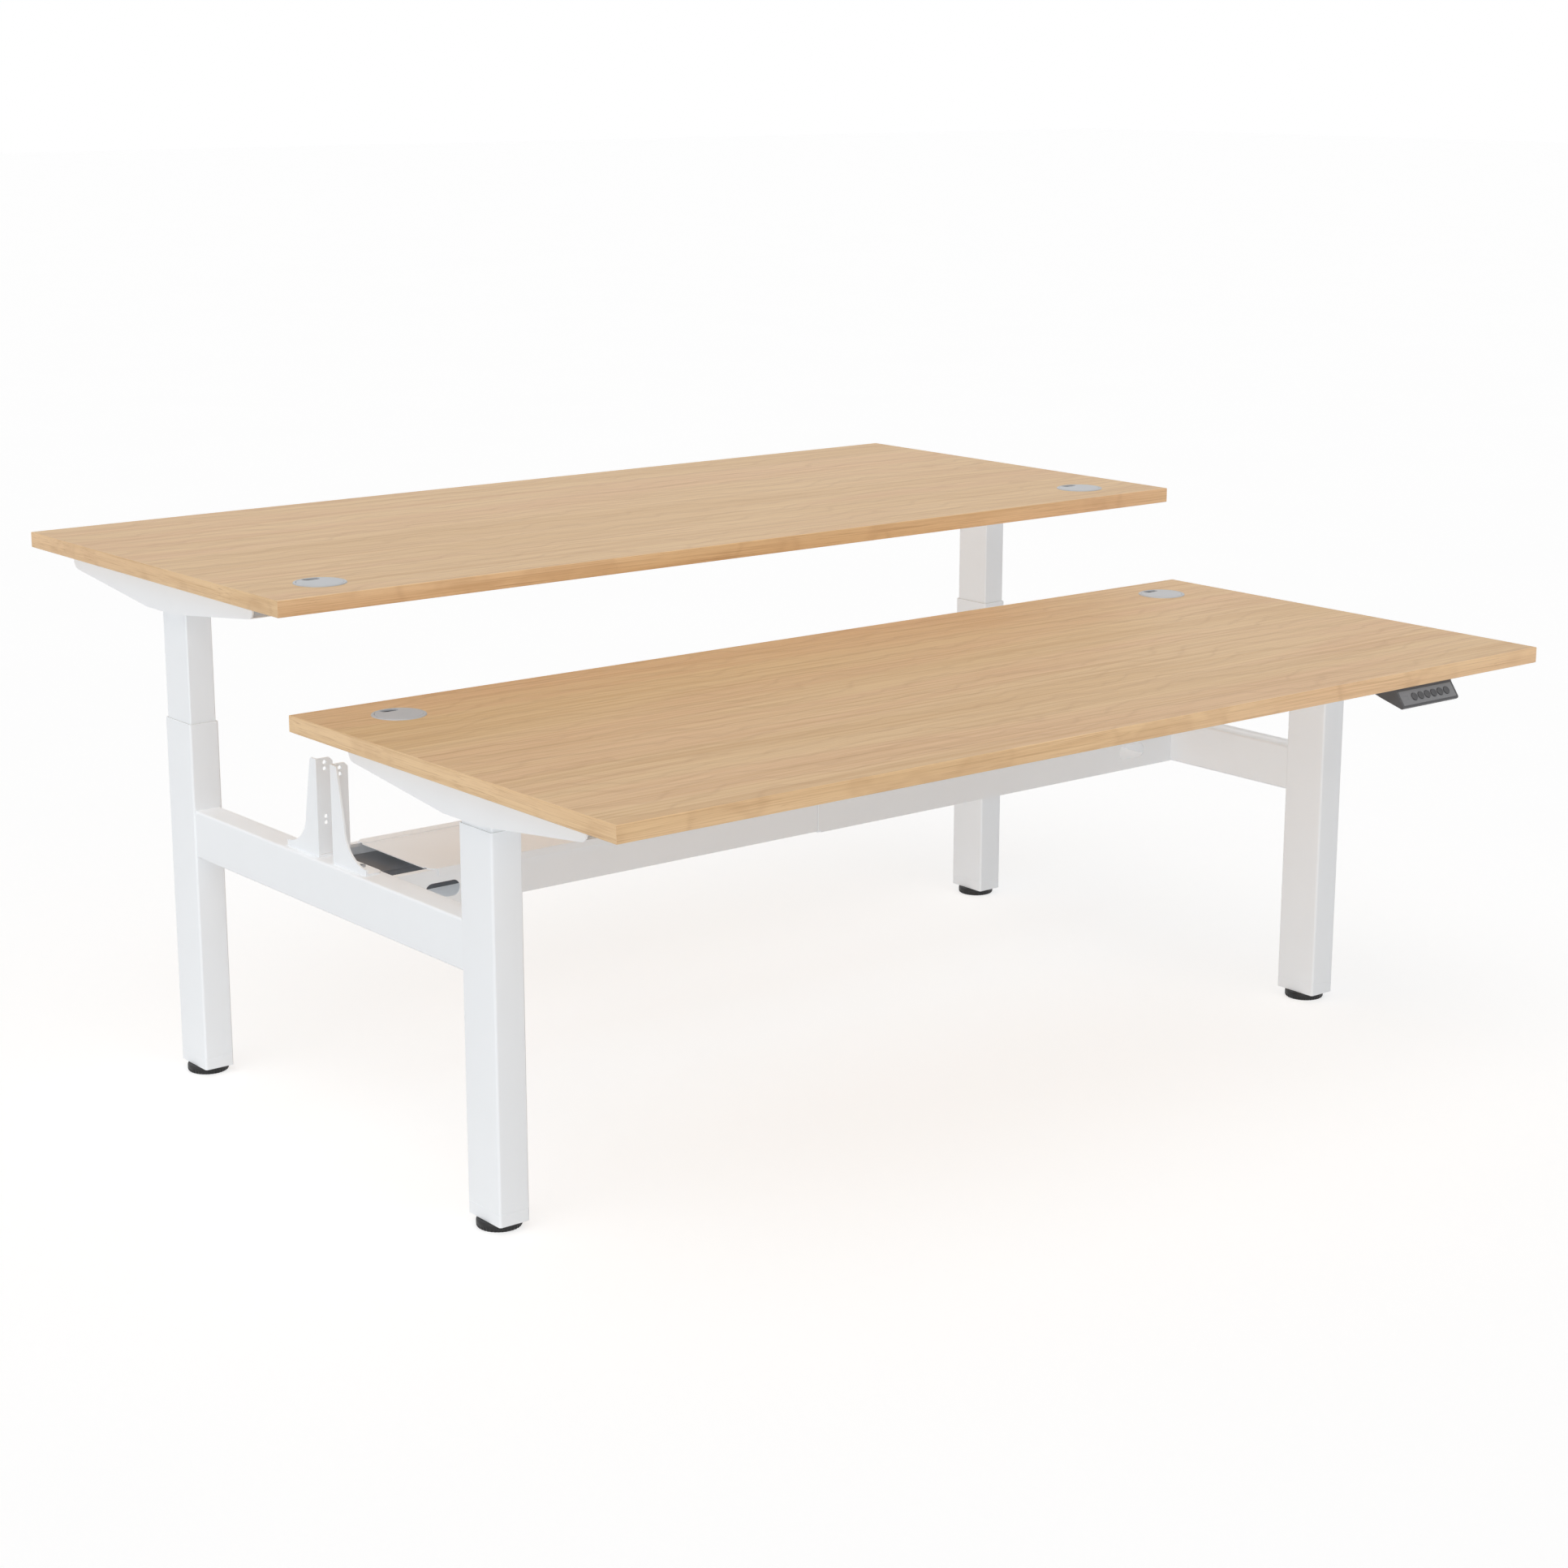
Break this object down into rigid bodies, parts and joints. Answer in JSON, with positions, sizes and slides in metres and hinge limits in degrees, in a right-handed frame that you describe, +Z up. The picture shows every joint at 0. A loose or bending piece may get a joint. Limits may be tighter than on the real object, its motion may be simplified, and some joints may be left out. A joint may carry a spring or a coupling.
{
  "type": "height adjustable bench desk",
  "caption": "Back-to-back pair of height adjustable desks on one frame, with lifting columns, a cable tray, handsets and grommets.",
  "frame": {"origin": "on the floor under the middle of the bench", "axes": "+X along the worktops to the right as seen by the front user, +Y from the front user towards the rear user, +Z up"},
  "size_m": [1.8, 1.6414, 0.8275],
  "materials": {
    "white_powder_coat": "satin powder coat",
    "beech_laminate": "matt light wood grain",
    "beech_lipping": "matt light wood grain",
    "zinc_steel": "zinc plated",
    "cast_housing": "satin cast",
    "grommet_plastic": "silver grey",
    "bush_plastic": "pale grey",
    "black_plastic": "fine texture",
    "dark_grey_plastic": "fine texture",
    "face_plastic": "satin"
  },
  "bodies": {
    "frame": {"outer_tubes_front": "white_powder_coat", "outer_tubes_rear": "white_powder_coat", "foot_caps": "white_powder_coat", "glide_bushes": "bush_plastic", "nut_carriers": "zinc_steel", "side_beam_left": "white_powder_coat", "side_beam_right": "white_powder_coat", "frame_bolts": "zinc_steel", "tray_half_left": "white_powder_coat", "tray_half_right": "white_powder_coat", "power_box": "dark_grey_plastic", "screen_brackets": "white_powder_coat"},
    "desk_front": {"worktop_front": "beech_laminate", "edge_bands_front": "beech_lipping", "support_arms_front": "white_powder_coat", "inner_tubes_front": "white_powder_coat", "drive_units_front": "cast_housing", "top_rails_front": "white_powder_coat", "control_box_front": "dark_grey_plastic", "handset_body_front": "dark_grey_plastic", "handset_face_front": "face_plastic", "grommet_sleeves_front": "grommet_plastic", "wood_screws_front": "zinc_steel"},
    "desk_rear": {"worktop_rear": "beech_laminate", "edge_bands_rear": "beech_lipping", "support_arms_rear": "white_powder_coat", "inner_tubes_rear": "white_powder_coat", "drive_units_rear": "cast_housing", "top_rails_rear": "white_powder_coat", "control_box_rear": "dark_grey_plastic", "handset_body_rear": "dark_grey_plastic", "handset_face_rear": "face_plastic", "grommet_sleeves_rear": "grommet_plastic", "wood_screws_rear": "zinc_steel"},
    "spindle_front_left": {"spindle_front_left": "zinc_steel"},
    "spindle_front_right": {"spindle_front_right": "zinc_steel"},
    "spindle_rear_left": {"spindle_rear_left": "zinc_steel"},
    "spindle_rear_right": {"spindle_rear_right": "zinc_steel"},
    "grommet_cap_front_left": {"grommet_cap_front_left": "grommet_plastic"},
    "grommet_cap_front_right": {"grommet_cap_front_right": "grommet_plastic"},
    "grommet_cap_rear_left": {"grommet_cap_rear_left": "grommet_plastic"},
    "grommet_cap_rear_right": {"grommet_cap_rear_right": "grommet_plastic"},
    "button_front_up": {"button_front_up": "black_plastic"},
    "button_front_down": {"button_front_down": "black_plastic"},
    "button_front_one": {"button_front_one": "black_plastic"},
    "button_front_two": {"button_front_two": "black_plastic"},
    "button_front_three": {"button_front_three": "black_plastic"},
    "button_front_four": {"button_front_four": "black_plastic"},
    "button_rear_up": {"button_rear_up": "black_plastic"},
    "button_rear_down": {"button_rear_down": "black_plastic"},
    "button_rear_one": {"button_rear_one": "black_plastic"},
    "button_rear_two": {"button_rear_two": "black_plastic"},
    "button_rear_three": {"button_rear_three": "black_plastic"},
    "button_rear_four": {"button_rear_four": "black_plastic"},
    "foot_front_left": {"foot_front_left": "black_plastic"},
    "foot_front_right": {"foot_front_right": "black_plastic"},
    "foot_rear_left": {"foot_rear_left": "black_plastic"},
    "foot_rear_right": {"foot_rear_right": "black_plastic"},
    "tray_lid_left": {"tray_lid_left": "white_powder_coat"},
    "tray_lid_right": {"tray_lid_right": "white_powder_coat"}
  },
  "joints": [
    {"name": "lift_front", "type": "slide", "parent": "frame", "child": "desk_front", "axis": [0, 0, 1], "range_m": [-0.009, 0.441]},
    {"name": "lift_rear", "type": "slide", "parent": "frame", "child": "desk_rear", "axis": [0, 0, 1], "range_m": [-0.171, 0.279]},
    {"name": "spindle_front_left_turn", "type": "hinge", "parent": "desk_front", "child": "spindle_front_left", "pos_m": [-0.83, -0.42, 0.5], "axis": [0, 0, 1], "continuous": true},
    {"name": "spindle_front_right_turn", "type": "hinge", "parent": "desk_front", "child": "spindle_front_right", "pos_m": [0.83, -0.42, 0.5], "axis": [0, 0, 1], "continuous": true},
    {"name": "spindle_rear_left_turn", "type": "hinge", "parent": "desk_rear", "child": "spindle_rear_left", "pos_m": [-0.83, 0.42, 0.5], "axis": [0, 0, 1], "continuous": true},
    {"name": "spindle_rear_right_turn", "type": "hinge", "parent": "desk_rear", "child": "spindle_rear_right", "pos_m": [0.83, 0.42, 0.5], "axis": [0, 0, 1], "continuous": true},
    {"name": "grommet_cap_front_left_turn", "type": "hinge", "parent": "desk_front", "child": "grommet_cap_front_left", "pos_m": [-0.775, -0.105, 0.664], "axis": [0, 0, 1], "continuous": true},
    {"name": "grommet_cap_front_right_turn", "type": "hinge", "parent": "desk_front", "child": "grommet_cap_front_right", "pos_m": [0.775, -0.105, 0.664], "axis": [0, 0, 1], "continuous": true},
    {"name": "grommet_cap_rear_left_turn", "type": "hinge", "parent": "desk_rear", "child": "grommet_cap_rear_left", "pos_m": [-0.775, 0.105, 0.826], "axis": [0, 0, 1], "continuous": true},
    {"name": "grommet_cap_rear_right_turn", "type": "hinge", "parent": "desk_rear", "child": "grommet_cap_rear_right", "pos_m": [0.775, 0.105, 0.826], "axis": [0, 0, 1], "continuous": true},
    {"name": "button_front_up_press", "type": "slide", "parent": "desk_front", "child": "button_front_up", "axis": [0, 0.809, -0.5878], "range_m": [0, 0.0012], "stiffness_N_per_m": 1000, "springref_m": -0.0008},
    {"name": "button_front_down_press", "type": "slide", "parent": "desk_front", "child": "button_front_down", "axis": [0, 0.809, -0.5878], "range_m": [0, 0.0012], "stiffness_N_per_m": 1000, "springref_m": -0.0008},
    {"name": "button_front_one_press", "type": "slide", "parent": "desk_front", "child": "button_front_one", "axis": [0, 0.809, -0.5878], "range_m": [0, 0.0012], "stiffness_N_per_m": 1000, "springref_m": -0.0008},
    {"name": "button_front_two_press", "type": "slide", "parent": "desk_front", "child": "button_front_two", "axis": [0, 0.809, -0.5878], "range_m": [0, 0.0012], "stiffness_N_per_m": 1000, "springref_m": -0.0008},
    {"name": "button_front_three_press", "type": "slide", "parent": "desk_front", "child": "button_front_three", "axis": [0, 0.809, -0.5878], "range_m": [0, 0.0012], "stiffness_N_per_m": 1000, "springref_m": -0.0008},
    {"name": "button_front_four_press", "type": "slide", "parent": "desk_front", "child": "button_front_four", "axis": [0, 0.809, -0.5878], "range_m": [0, 0.0012], "stiffness_N_per_m": 1000, "springref_m": -0.0008},
    {"name": "button_rear_up_press", "type": "slide", "parent": "desk_rear", "child": "button_rear_up", "axis": [0, -0.809, -0.5878], "range_m": [0, 0.0012], "stiffness_N_per_m": 1000, "springref_m": -0.0008},
    {"name": "button_rear_down_press", "type": "slide", "parent": "desk_rear", "child": "button_rear_down", "axis": [0, -0.809, -0.5878], "range_m": [0, 0.0012], "stiffness_N_per_m": 1000, "springref_m": -0.0008},
    {"name": "button_rear_one_press", "type": "slide", "parent": "desk_rear", "child": "button_rear_one", "axis": [0, -0.809, -0.5878], "range_m": [0, 0.0012], "stiffness_N_per_m": 1000, "springref_m": -0.0008},
    {"name": "button_rear_two_press", "type": "slide", "parent": "desk_rear", "child": "button_rear_two", "axis": [0, -0.809, -0.5878], "range_m": [0, 0.0012], "stiffness_N_per_m": 1000, "springref_m": -0.0008},
    {"name": "button_rear_three_press", "type": "slide", "parent": "desk_rear", "child": "button_rear_three", "axis": [0, -0.809, -0.5878], "range_m": [0, 0.0012], "stiffness_N_per_m": 1000, "springref_m": -0.0008},
    {"name": "button_rear_four_press", "type": "slide", "parent": "desk_rear", "child": "button_rear_four", "axis": [0, -0.809, -0.5878], "range_m": [0, 0.0012], "stiffness_N_per_m": 1000, "springref_m": -0.0008},
    {"name": "foot_front_left_level", "type": "slide", "parent": "frame", "child": "foot_front_left", "axis": [0, 0, -1], "range_m": [0, 0.015]},
    {"name": "foot_front_right_level", "type": "slide", "parent": "frame", "child": "foot_front_right", "axis": [0, 0, -1], "range_m": [0, 0.015]},
    {"name": "foot_rear_left_level", "type": "slide", "parent": "frame", "child": "foot_rear_left", "axis": [0, 0, -1], "range_m": [0, 0.015]},
    {"name": "foot_rear_right_level", "type": "slide", "parent": "frame", "child": "foot_rear_right", "axis": [0, 0, -1], "range_m": [0, 0.015]},
    {"name": "tray_lid_left_lift", "type": "slide", "parent": "frame", "child": "tray_lid_left", "axis": [0, 0, 1], "range_m": [0, 0.12]},
    {"name": "tray_lid_right_lift", "type": "slide", "parent": "frame", "child": "tray_lid_right", "axis": [0, 0, 1], "range_m": [0, 0.12]}
  ],
  "couplings": [
    {"joint": "spindle_front_left_turn", "follows": "lift_front", "rad_per_m": 785.4},
    {"joint": "spindle_front_right_turn", "follows": "lift_front", "rad_per_m": 785.4},
    {"joint": "spindle_rear_left_turn", "follows": "lift_rear", "rad_per_m": 785.4},
    {"joint": "spindle_rear_right_turn", "follows": "lift_rear", "rad_per_m": 785.4}
  ]
}
